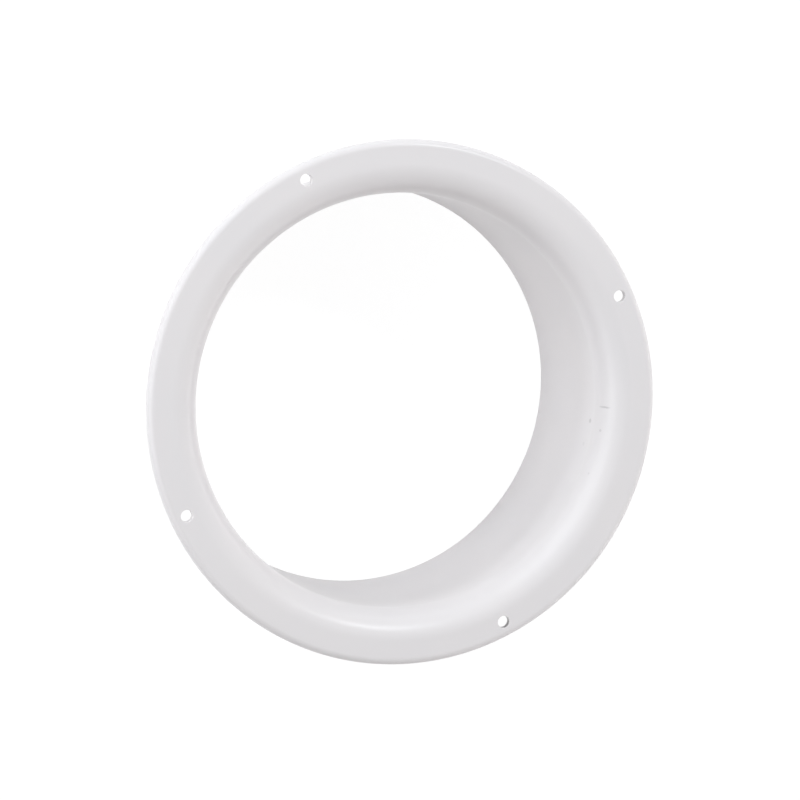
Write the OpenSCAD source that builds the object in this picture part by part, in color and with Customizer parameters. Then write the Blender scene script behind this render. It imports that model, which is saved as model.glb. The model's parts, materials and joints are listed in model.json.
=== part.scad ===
// Duct connector sleeve: a round wall flange that runs through a bell mouth into a straight sleeve.
// One moulding. Z is the duct's axis, the flange is at the top and the sleeve's free end is at z = 0.

/* [Sleeve] */
// Outside diameter of the sleeve, which the duct hose slides over
sleeve_d = 149; // [96:1:250]
// Wall thickness of the sleeve
wall_t = 3; // [2.2:0.1:5]
// Overall length, from the free end to the front of the flange
total_len = 68; // [30:1:150]
// Length of the lead-in bevel outside the free end
lead_len = 2; // [0.5:0.1:6]
// Depth of the lead-in bevel
lead_depth = 0.6; // [0.2:0.1:1.2]

/* [Flange] */
// How far the flange stands out from the sleeve
flange_w = 15.5; // [15:0.5:40]
// Thickness of the flange
flange_t = 3; // [2:0.1:5]
// Radius of the rounded front edge of the rim
rim_front_r = 2.5; // [0.5:0.1:2.5]
// Radius of the small round on the back edge of the rim
rim_back_r = 0.3; // [0.1:0.1:0.5]

/* [Bell mouth] */
// Radius of the bell mouth, from the front of the flange to the bore
bell_r = 10; // [6:0.1:10.5]

/* [Screw holes] */
// Number of screw holes around the flange
hole_count = 4; // [2:1:12]
// Diameter of a screw hole
hole_d = 4.2; // [3:0.1:5.6]
// Distance from the flange's rim to the centre of a screw hole
hole_inset = 5.6; // [5:0.1:6.3]

/* [Hidden] */

// Faces around a full turn
turn_fn = 180;
// How far a cutting shape runs past the face it cuts
past = 1;

sleeve_r = sleeve_d / 2;
bore_r = sleeve_r - wall_t;
flange_r = sleeve_r + flange_w;
hole_circle_r = flange_r - hole_inset;
flange_back_z = total_len - flange_t;
// Fillet behind the flange, which keeps the wall even around the bell mouth
back_fillet_r = bell_r - max(wall_t, flange_t);
front_round_r = min(rim_front_r, flange_t - rim_back_r);

// Corner waste between a quarter circle and the square around it, its corner at the origin
module corner(r) {
    difference() {
        translate([-past, -past]) square(r + past);
        translate([r, r]) circle(r = r, $fn = turn_fn);
    }
}

// Room behind the flange and around the sleeve, with the fillet left standing in its inner corner
module outer_room() {
    difference() {
        translate([sleeve_r, -past]) square([flange_w + past, flange_back_z + past]);
        translate([sleeve_r, flange_back_z]) mirror([0, 1]) corner(back_fillet_r);
    }
}

// Bevel that is taken off the outside of the free end
module lead_in() {
    polygon([
        [sleeve_r - lead_depth, 0],
        [sleeve_r - lead_depth, -past],
        [sleeve_r + past, -past],
        [sleeve_r + past, lead_len],
        [sleeve_r, lead_len]
    ]);
}

// Half section through the wall, from the bore outwards
module half_section() {
    difference() {
        translate([bore_r, 0]) square([flange_r - bore_r, total_len]);
        outer_room();
        translate([bore_r, total_len]) mirror([0, 1]) corner(bell_r);
        translate([flange_r, total_len]) mirror([1, 0]) mirror([0, 1]) corner(front_round_r);
        translate([flange_r, flange_back_z]) mirror([1, 0]) corner(rim_back_r);
        lead_in();
    }
}

module screw_holes() {
    for (i = [0 : hole_count - 1])
        rotate([0, 0, (i + 0.5) * 360 / hole_count])
            translate([hole_circle_r, 0, flange_back_z - past])
                cylinder(h = flange_t + 2 * past, d = hole_d, $fn = 48);
}

module connector_sleeve() {
    color([0.9, 0.89, 0.89])
        difference() {
            rotate_extrude($fn = turn_fn) half_section();
            screw_holes();
        }
}

connector_sleeve();
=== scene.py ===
import json
import math
import bmesh
import bpy
from mathutils import Matrix, Quaternion, Vector


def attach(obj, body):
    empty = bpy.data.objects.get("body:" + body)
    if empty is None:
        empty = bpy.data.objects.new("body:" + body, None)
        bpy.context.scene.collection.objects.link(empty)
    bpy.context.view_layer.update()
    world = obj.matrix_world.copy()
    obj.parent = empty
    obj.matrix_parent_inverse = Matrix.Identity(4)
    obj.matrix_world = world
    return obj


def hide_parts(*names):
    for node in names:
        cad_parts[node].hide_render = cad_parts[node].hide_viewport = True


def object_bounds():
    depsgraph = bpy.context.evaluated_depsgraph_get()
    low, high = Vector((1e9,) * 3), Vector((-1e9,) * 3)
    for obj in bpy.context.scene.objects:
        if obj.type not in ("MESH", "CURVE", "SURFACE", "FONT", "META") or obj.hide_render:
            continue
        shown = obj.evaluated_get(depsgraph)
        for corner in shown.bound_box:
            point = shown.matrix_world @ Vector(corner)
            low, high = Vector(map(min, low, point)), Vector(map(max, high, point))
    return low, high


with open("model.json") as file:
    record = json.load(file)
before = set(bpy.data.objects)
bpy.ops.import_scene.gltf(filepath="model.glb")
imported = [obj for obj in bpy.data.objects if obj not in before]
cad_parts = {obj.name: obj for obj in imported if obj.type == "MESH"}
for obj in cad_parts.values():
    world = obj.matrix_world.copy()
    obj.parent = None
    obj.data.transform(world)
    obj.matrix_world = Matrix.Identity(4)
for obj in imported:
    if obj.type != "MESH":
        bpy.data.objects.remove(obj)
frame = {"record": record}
cadLow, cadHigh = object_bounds()
mounts = {m["name"]: m for m in frame["record"]["mounts"]}
print("frame loaded")


def newPiece(name, bm):
    mesh = bpy.data.meshes.new(name)
    bm.to_mesh(mesh)
    bm.free()
    piece = bpy.data.objects.new(name, mesh)
    bpy.context.scene.collection.objects.link(piece)
    return piece


# the moulding: its main sizes are the mounts' own, in metres
bore = mounts["duct_bore"]
spigot = mounts["hose_spigot"]
screws = mounts["flange_screws"]
boreTop = bore["pos_m"][2] + bore["dims"]["length_mm"] / 2000
spigotTop = spigot["pos_m"][2] + spigot["dims"]["length_mm"] / 2000
spigotLow = spigot["pos_m"][2] - spigot["dims"]["length_mm"] / 2000
flangeBack = mounts["flange_back"]["pos_m"][2]

moulding = {
    "rim": cadHigh.x,
    "top": cadHigh.z,
    "bore": bore["dims"]["r_mm"] / 1000,
    "outside": spigot["dims"]["r_mm"] / 1000,
    "flangeBack": flangeBack,
    "bellRound": cadHigh.z - boreTop,
    "bellSteps": 24,
    "rimFrontRound": 0.0025,
    "rimFrontSteps": 12,
    "rimBackRound": 0.0003,
    "rimBackSteps": 4,
    "filletRound": flangeBack - spigotTop,
    "filletSteps": 16,
    "leadIn": spigotLow,
    "leadDepth": 0.0006,
    "endRound": 0.0002,
    "endSteps": 3,
    "hold": 0.0003,  # a ring of faces this wide keeps a flat flat where a round begins
    "turnSteps": 360,
}

screwHoles = {
    "count": screws["dims"]["count"],
    "circle": screws["dims"]["pcd_mm"] / 2000,
    "radius": screws["dims"]["hole_r_mm"] / 1000,
    "edgeRound": 0.00015,
    "edgeSteps": 4,
    "hold": 0.0001,
    "turnSteps": 48,
    "patchHalf": math.radians(2.5),  # how far round the flange the faces are renewed, each way
    "patchReach": 0.003,  # and how far in and out from the screw circle
}


def addOutline(bm, corners, closed):
    # a wire through the corners, each of them (radius from the axis, height, round, steps)
    verts = [bm.verts.new((radius, 0, height)) for radius, height, _, _ in corners]
    pairs = list(zip(verts, verts[1:]))
    if closed:
        pairs.append((verts[-1], verts[0]))
    for a, b in pairs:
        bm.edges.new((a, b))
    for vert, (_, _, rounding, steps) in zip(verts, corners):
        if rounding:
            bmesh.ops.bevel(bm, geom=[vert], offset=rounding, segments=steps, profile=0.5,
                            affect="VERTICES", material=-1)


def addHolds(bm, hold):
    # a point close to both ends of each straight
    for edge in [e for e in bm.edges if e.calc_length() > 4 * hold]:
        first, last = edge.verts
        length = edge.calc_length()
        bmesh.utils.edge_split(edge, first, hold / length)
        bmesh.utils.edge_split(edge, last, hold / (length - hold))


def spinRound(bm, steps):
    bmesh.ops.spin(bm, geom=bm.verts[:] + bm.edges[:], cent=(0, 0, 0), axis=(0, 0, 1),
                   angle=math.tau, steps=steps, use_merge=True)


def openPatch(bm, h, angle, height):
    # takes away the flat faces round a screw hole and returns the border that they leave
    patch = []
    for f in bm.faces:
        c = f.calc_center_median()
        onFlat = abs(c.z - height) < 1e-6 and abs(c.xy.length - h["circle"]) < h["patchReach"]
        if onFlat and c.xy.angle(Vector((math.cos(angle), math.sin(angle)))) < h["patchHalf"]:
            patch.append(f)
    border = [e for e in {e for f in patch for e in f.edges}
              if sum(f in patch for f in e.link_faces) == 1]
    bmesh.ops.delete(bm, geom=patch, context="FACES")
    return border


def makeHoleWall(m, h, centre):
    wall = bmesh.new()
    outer = h["radius"] + h["edgeRound"] + h["hold"]
    addOutline(wall, [
        (outer, m["top"], 0, 0),
        (h["radius"], m["top"], h["edgeRound"], h["edgeSteps"]),
        (h["radius"], m["flangeBack"], h["edgeRound"], h["edgeSteps"]),
        (outer, m["flangeBack"], 0, 0),
    ], closed=False)
    spinRound(wall, h["turnSteps"])
    bmesh.ops.translate(wall, vec=centre, verts=wall.verts[:])
    mesh = bpy.data.meshes.new("holeWall")
    wall.to_mesh(mesh)
    wall.free()
    return mesh


def cutScrewHole(bm, m, h, angle):
    centre = Vector((h["circle"] * math.cos(angle), h["circle"] * math.sin(angle), 0))
    borders = {height: openPatch(bm, h, angle, height) for height in (m["top"], m["flangeBack"])}
    known = set(bm.edges)
    wall = makeHoleWall(m, h, centre)
    bm.from_mesh(wall)
    bpy.data.meshes.remove(wall)
    ends = [e for e in bm.edges if e not in known and e.is_boundary]
    for height, border in borders.items():
        ring = [e for e in ends if abs(e.verts[0].co.z - height) < 1e-6]
        bmesh.ops.triangle_fill(bm, use_beauty=True, edges=border + ring)


def makeMoulding(m, h):
    bm = bmesh.new()
    addOutline(bm, [
        (m["bore"], 0, m["endRound"], m["endSteps"]),
        (m["bore"], m["top"], m["bellRound"], m["bellSteps"]),
        (m["rim"], m["top"], m["rimFrontRound"], m["rimFrontSteps"]),
        (m["rim"], m["flangeBack"], m["rimBackRound"], m["rimBackSteps"]),
        (m["outside"], m["flangeBack"], m["filletRound"], m["filletSteps"]),
        (m["outside"], m["leadIn"], 0, 0),
        (m["outside"] - m["leadDepth"], 0, m["endRound"], m["endSteps"]),
    ], closed=True)
    addHolds(bm, m["hold"])
    spinRound(bm, m["turnSteps"])
    for i in range(h["count"]):
        cutScrewHole(bm, m, h, (i + 0.5) * math.tau / h["count"])
    bmesh.ops.remove_doubles(bm, verts=bm.verts[:], dist=1e-7)
    bmesh.ops.recalc_face_normals(bm, faces=bm.faces[:])
    for f in bm.faces:
        f.smooth = True
    return newPiece("sleeve_moulding", bm)


sleeve = makeMoulding(moulding, screwHoles)
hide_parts("connector_sleeve")
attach(sleeve, "root")
print("moulding made:", len(sleeve.data.polygons), "faces")


def addNode(tree, kind, inputs, **settings):
    # inputs are sockets to link or plain values, by the name or the number of the input
    node = tree.nodes.new(kind)
    for name, value in settings.items():
        setattr(node, name, value)
    for key, value in inputs.items():
        if isinstance(value, bpy.types.NodeSocket):
            tree.links.new(value, node.inputs[key])
        else:
            node.inputs[key].default_value = value
    return node.outputs


# the plastic: a glossy white, faintly wavy, grained and clouded, and duller inside the sleeve
plastic = {
    "colour": (0.785, 0.76, 0.763, 1),
    "cloudColour": (0.77, 0.75, 0.757, 1),
    "cloudSize": 0.03,
    "specular": 0.3,
    "roughness": (0.28, 0.33),
    "smudgeSize": 0.014,
    "sleeveDullness": 0.13,  # how much rougher the sleeve is than the flange and the bell mouth
    "dullBelow": (boreTop - 0.0015, boreTop - 0.0005),  # and the heights between which that sets in
    "waveSize": 0.007,
    "waveDepth": 0.00003,
    "grainSize": 0.0007,
    "grainDepth": 0.0000012,
    "ragged": 0.0004,  # how far the edges of the marks stray
}

holeMiddle = (moulding["flangeBack"] + moulding["top"]) / 2

# marks on the skin, and painted shade in two screw holes: degrees round the axis, distance from it and
# height up it, half length and half width, the tilt of the long way from level, how much they darken,
# how deep they are
marks = {
    "scratch": {"round": 107.4, "out": 0.0733, "up": 0.0633, "long": 0.0022, "wide": 0.0004,
                "tilt": 57, "dark": 0.2, "deep": 0.00002},
    "pit": {"round": 102.8, "out": 0.0715, "up": 0.0551, "long": 0.001, "wide": 0.0008,
            "tilt": 90, "dark": 0.2, "deep": 0.00004},
    "speck": {"round": 100.9, "out": 0.0728, "up": 0.0629, "long": 0.0006, "wide": 0.0005,
              "tilt": 57, "dark": 0.14, "deep": 0.00001},
    "faintSpeck": {"round": 96, "out": 0.0715, "up": 0.053, "long": 0.0008, "wide": 0.0007,
                   "tilt": 90, "dark": 0.07, "deep": 0.00001},
    "tinySpeck": {"round": 88.7, "out": 0.0728, "up": 0.0629, "long": 0.0004, "wide": 0.0004,
                  "tilt": 57, "dark": 0.1, "deep": 0},
    "paleSpeck": {"round": 156.7, "out": 0.0718, "up": 0.0605, "long": 0.0005, "wide": 0.0004,
                  "tilt": 80, "dark": -0.06, "deep": 0},
    "palePatch": {"round": -86.4, "out": 0.0747, "up": 0.0653, "long": 0.0009, "wide": 0.0007,
                  "tilt": 45, "dark": -0.04, "deep": 0},
    # painted shade: the walls of two screw holes are darkened where shade falls inside them
    "upperHolePaintedShade": {"round": 135, "out": screwHoles["circle"], "up": holeMiddle, "long": 0.0012,
                       "wide": 0.0035, "tilt": 90, "dark": 0.25, "deep": 0},
    "lowerHolePaintedShade": {"round": 45, "out": screwHoles["circle"], "up": holeMiddle, "long": 0.0012,
                       "wide": 0.0035, "tilt": 90, "dark": 0.65, "deep": 0},
}


def addMark(tree, place, mark, dark, deep):
    # adds one mark to the running totals of darkening and of depth
    angle = math.radians(mark["round"])
    spot = addNode(tree, "ShaderNodeMapping", {
        "Vector": place,
        "Location": (mark["out"] * math.cos(angle), mark["out"] * math.sin(angle), mark["up"]),
        "Rotation": (0, -math.radians(mark["tilt"]), angle),
        "Scale": (mark["long"], mark["wide"], mark["wide"]),
    }, vector_type="TEXTURE")
    away = addNode(tree, "ShaderNodeVectorMath", {0: spot["Vector"]}, operation="LENGTH")
    amount = addNode(tree, "ShaderNodeMapRange", {
        "Value": away["Value"], "From Min": 1.3, "From Max": 0.6, "To Min": 0, "To Max": 1,
    }, interpolation_type="SMOOTHSTEP")["Result"]
    dark = addNode(tree, "ShaderNodeMath", {0: amount, 1: mark["dark"], 2: dark},
                   operation="MULTIPLY_ADD")["Value"]
    deep = addNode(tree, "ShaderNodeMath", {0: amount, 1: -mark["deep"], 2: deep},
                   operation="MULTIPLY_ADD")["Value"]
    return dark, deep


def addNoise(tree, place, size, detail=2):
    return addNode(tree, "ShaderNodeTexNoise", {"Vector": place, "Scale": 1 / size, "Detail": detail})


def makePlastic(p, allMarks):
    material = bpy.data.materials.new("glossyWhitePlastic")
    material.use_nodes = True
    tree = material.node_tree
    shader = tree.nodes["Principled BSDF"]
    shader.inputs["IOR"].default_value = 1.5
    shader.inputs["Specular IOR Level"].default_value = p["specular"]
    place = tree.nodes.new("ShaderNodeTexCoord").outputs["Object"]

    # the marks, with ragged edges
    stray = addNode(tree, "ShaderNodeVectorMath", {
        0: addNoise(tree, place, 2 * p["ragged"])["Color"], 1: (0.5, 0.5, 0.5),
    }, operation="SUBTRACT")
    strayed = addNode(tree, "ShaderNodeVectorMath", {
        0: stray["Vector"], 1: (p["ragged"],) * 3, 2: place,
    }, operation="MULTIPLY_ADD")
    dark, deep = 0, 0
    for mark in allMarks.values():
        dark, deep = addMark(tree, strayed["Vector"], mark, dark, deep)

    clouds = addNode(tree, "ShaderNodeMapRange", {
        "Value": addNoise(tree, place, p["cloudSize"], 4)["Fac"], "From Min": 0.3, "From Max": 0.7,
    })
    clean = addNode(tree, "ShaderNodeMix", {
        "Factor": clouds["Result"], "A": p["colour"], "B": p["cloudColour"],
    }, data_type="RGBA")
    # the darkening holds the real specks and pits and also the painted shade in two screw holes
    left = addNode(tree, "ShaderNodeMath", {0: 1, 1: dark}, operation="SUBTRACT")
    colour = addNode(tree, "ShaderNodeVectorMath", {0: clean["Result"], "Scale": left["Value"]},
                     operation="SCALE")
    tree.links.new(colour["Vector"], shader.inputs["Base Color"])

    smudges = addNode(tree, "ShaderNodeMapRange", {
        "Value": addNoise(tree, place, p["smudgeSize"], 6)["Fac"], "From Min": 0.3, "From Max": 0.7,
        "To Min": p["roughness"][0], "To Max": p["roughness"][1],
    })
    depth = addNode(tree, "ShaderNodeSeparateXYZ", {"Vector": place})
    duller = addNode(tree, "ShaderNodeMapRange", {
        "Value": depth["Z"], "From Min": p["dullBelow"][0], "From Max": p["dullBelow"][1],
        "To Min": p["sleeveDullness"], "To Max": 0,
    })
    roughness = addNode(tree, "ShaderNodeMath", {0: smudges["Result"], 1: duller["Result"]},
                        operation="ADD")
    tree.links.new(roughness["Value"], shader.inputs["Roughness"])

    grain = addNode(tree, "ShaderNodeMath", {
        0: addNoise(tree, place, p["grainSize"], 3)["Fac"], 1: p["grainDepth"], 2: deep,
    }, operation="MULTIPLY_ADD")
    height = addNode(tree, "ShaderNodeMath", {
        0: addNoise(tree, place, p["waveSize"])["Fac"], 1: p["waveDepth"], 2: grain["Value"],
    }, operation="MULTIPLY_ADD")
    bump = addNode(tree, "ShaderNodeBump", {"Height": height["Value"], "Distance": 1})
    tree.links.new(bump["Normal"], shader.inputs["Normal"])
    return material


sleeve.data.materials.append(makePlastic(plastic, marks))
print("plastic made")


# the studio: a white floor that keeps a faint shadow, a white surround, soft lamps
studio = {
    "floorSize": 8,
    "floorColour": (0.9, 0.9, 0.9, 1),
    "floorGlow": 0.94,
    "shadowColour": (0.12, 0.12, 0.12, 1),
    "surroundColour": (1, 0.98, 0.985, 1),
    "surround": 0.255,
    "lampsAway": 1.4,
}


def backgroundRays(tree):
    # 1 for the rays that see the background itself: from the camera, by reflection or through glass
    path = tree.nodes.new("ShaderNodeLightPath").outputs
    total = path["Is Camera Ray"]
    for name in ("Is Glossy Ray", "Is Transmission Ray"):
        total = addNode(tree, "ShaderNodeMath", {0: total, 1: path[name]}, operation="MAXIMUM")["Value"]
    return total


def makeFloor(s):
    bm = bmesh.new()
    bmesh.ops.create_grid(bm, x_segments=1, y_segments=1, size=s["floorSize"] / 2)
    floor = newPiece("floor", bm)
    material = bpy.data.materials.new("floor")
    material.use_nodes = True
    tree = material.node_tree
    tree.nodes.clear()
    real = addNode(tree, "ShaderNodeBsdfDiffuse", {"Color": s["floorColour"]})
    shadow = addNode(tree, "ShaderNodeBsdfDiffuse", {"Color": s["shadowColour"]})
    glow = addNode(tree, "ShaderNodeEmission", {"Strength": s["floorGlow"]})
    seen = addNode(tree, "ShaderNodeAddShader", {0: shadow[0], 1: glow[0]})
    mixed = addNode(tree, "ShaderNodeMixShader", {0: backgroundRays(tree), 1: real[0], 2: seen[0]})
    addNode(tree, "ShaderNodeOutputMaterial", {"Surface": mixed[0]})
    floor.data.materials.append(material)


def makeSurround(s):
    world = bpy.data.worlds.new("surround")
    bpy.context.scene.world = world
    world.use_nodes = True
    tree = world.node_tree
    tree.nodes.clear()
    light = addNode(tree, "ShaderNodeBackground", {
        "Color": s["surroundColour"], "Strength": s["surround"],
    })
    seen = addNode(tree, "ShaderNodeBackground", {"Color": (1, 1, 1, 1), "Strength": 1})
    mixed = addNode(tree, "ShaderNodeMixShader", {0: backgroundRays(tree), 1: light[0], 2: seen[0]})
    addNode(tree, "ShaderNodeOutputWorld", {"Surface": mixed[0]})


coolLight = (0.94, 0.975, 1)
warmLight = (1, 0.985, 0.98)

# lamps: degrees round from +X and up, width and height in metres, watts and light
lamps = {
    "leftSoftbox": {"round": -95, "up": 34, "size": (2.4, 0.75), "watts": 14.5, "light": coolLight},
    "leftStrip": {"round": -105, "up": 8, "size": (1, 0.1), "watts": 3, "light": coolLight},
    "rightSoftbox": {"round": 95, "up": 30, "size": (1.6, 0.9), "watts": 4, "light": warmLight},
    "rightStrip": {"round": 95, "up": 6, "size": (2.8, 0.12), "watts": 8, "light": warmLight},
    "topSoftbox": {"round": -175, "up": 35, "size": (1.6, 0.9), "watts": 0.8, "light": coolLight},
    "topStrip": {"round": -175, "up": 6, "size": (1.2, 0.1), "watts": 1.6, "light": coolLight},
    "bottomSoftbox": {"round": -35, "up": 32, "size": (1.2, 0.7), "watts": 2.7, "light": warmLight},
    "glintLamp": {"round": 165, "up": 47, "size": (0.4, 0.06), "watts": 5.5, "light": coolLight},
}


def outward(degreesRound, degreesUp):
    turn = Matrix.Rotation(math.radians(degreesRound), 3, "Z")
    rise = Matrix.Rotation(-math.radians(degreesUp), 3, "Y")
    return turn @ rise @ Vector((1, 0, 0))


def makeLamp(name, lamp, away):
    light = bpy.data.lights.new(name, "AREA")
    light.shape = "RECTANGLE"
    light.size, light.size_y = lamp["size"]
    light.energy = lamp["watts"]
    light.color = lamp["light"]
    holder = bpy.data.objects.new(name, light)
    bpy.context.scene.collection.objects.link(holder)
    direction = outward(lamp["round"], lamp["up"])
    holder.location = direction * away + Vector((0, 0, cadHigh.z))
    holder.rotation_mode = "QUATERNION"
    holder.rotation_quaternion = direction.to_track_quat("Z", "Y")


makeFloor(studio)
makeSurround(studio)
for lampName, lamp in lamps.items():
    makeLamp(lampName, lamp, studio["lampsAway"])
print("studio made")


# the camera looks down the bore, a little off its axis
view = {
    "aim": (-0.0007, -0.0028),  # where it points, on the front of the flange
    "away": 1.185,
    "round": -91.6,
    "up": 72.1,
    "roll": 111.1,
    "lens": 157,
    "sensor": 36,
    "farthest": 50,
}


def makeCamera(v):
    camera = bpy.data.cameras.new("camera")
    camera.sensor_width = v["sensor"]
    camera.lens = v["lens"]
    camera.clip_end = v["farthest"]
    holder = bpy.data.objects.new("camera", camera)
    bpy.context.scene.collection.objects.link(holder)
    direction = outward(v["round"], v["up"])
    holder.location = Vector((*v["aim"], cadHigh.z)) + direction * v["away"]
    holder.rotation_mode = "QUATERNION"
    roll = Quaternion((0, 0, 1), math.radians(v["roll"]))
    holder.rotation_quaternion = direction.to_track_quat("Z", "Y") @ roll
    bpy.context.scene.camera = holder


makeCamera(view)
bpy.context.scene.view_settings.view_transform = "Standard"
print("camera made")
